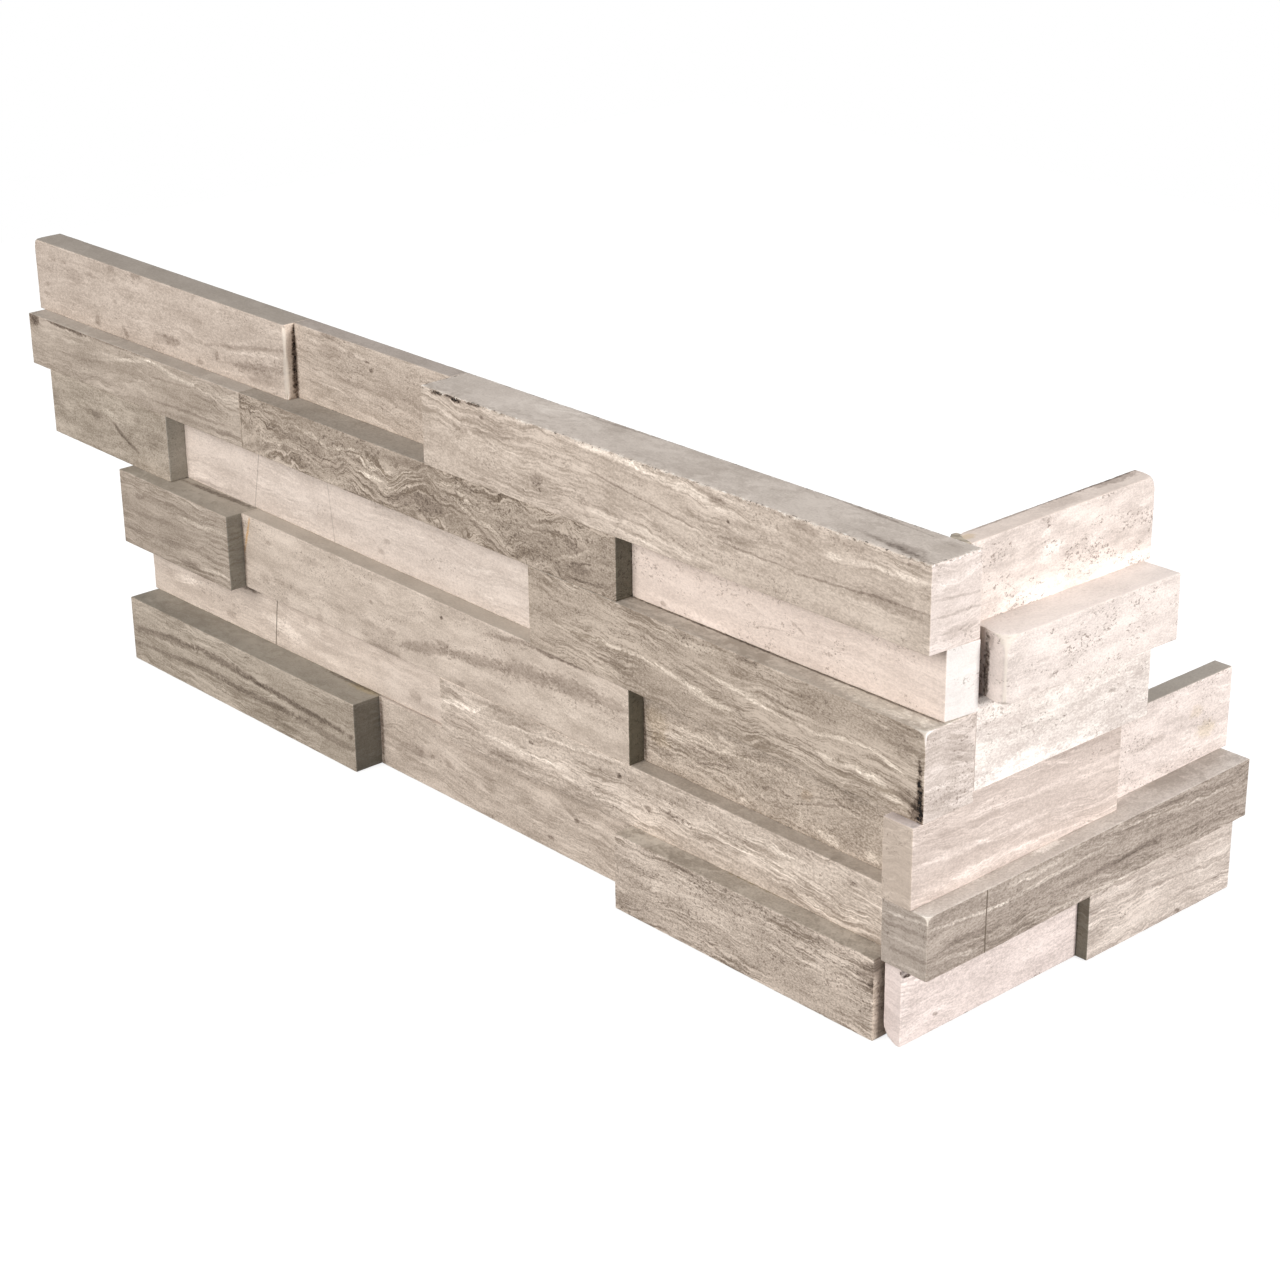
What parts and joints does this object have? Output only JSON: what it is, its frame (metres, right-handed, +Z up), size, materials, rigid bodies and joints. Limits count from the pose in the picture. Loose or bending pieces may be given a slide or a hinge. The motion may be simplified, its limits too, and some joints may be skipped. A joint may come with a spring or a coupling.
{
  "type": "stone ledger corner panel with sawn honed strips",
  "caption": "Interlocking stone veneer corner panel: long sawn strips of beige, grey and white marble stacked in staggered courses, with a short return wing.",
  "frame": {"origin": "foot of the wall's outside corner that the panel wraps, level with its lowest course", "axes": "+Z up along the wall's corner; the long wing reaches towards -X and faces -Y; the return wing reaches towards +Y and faces +X"},
  "size_m": [0.4903, 0.1545, 0.1524],
  "materials": {
    "beige_stone": "honed",
    "white_stone": "honed",
    "cream_stone": "honed",
    "grey_stone": "honed",
    "taupe_stone": "honed"
  },
  "bodies": {
    "root": {"row1_corner_strip": "beige_stone", "row1_end_strip": "beige_stone", "row1_middle_strip": "beige_stone", "row1_return_strip": "white_stone", "row2_corner_strip": "cream_stone", "row2_end_strip": "grey_stone", "row2_middle_strip": "taupe_stone", "row2_return_strip": "white_stone", "row3_corner_strip": "taupe_stone", "row3_end_strip": "grey_stone", "row3_middle_strip": "cream_stone", "row3_return_strip": "white_stone", "row4_corner_strip": "beige_stone", "row4_end_strip": "grey_stone", "row4_inner_strip": "taupe_stone", "row4_middle_strip": "beige_stone", "row4_return_strip": "cream_stone", "row5_corner_strip": "taupe_stone", "row5_end_strip": "cream_stone", "row5_middle_strip": "beige_stone", "row6_corner_strip": "cream_stone", "row6_end_strip": "taupe_stone", "row6_inner_strip": "grey_stone", "row6_middle_strip": "beige_stone", "row6_return_strip": "beige_stone"}
  },
  "joints": []
}
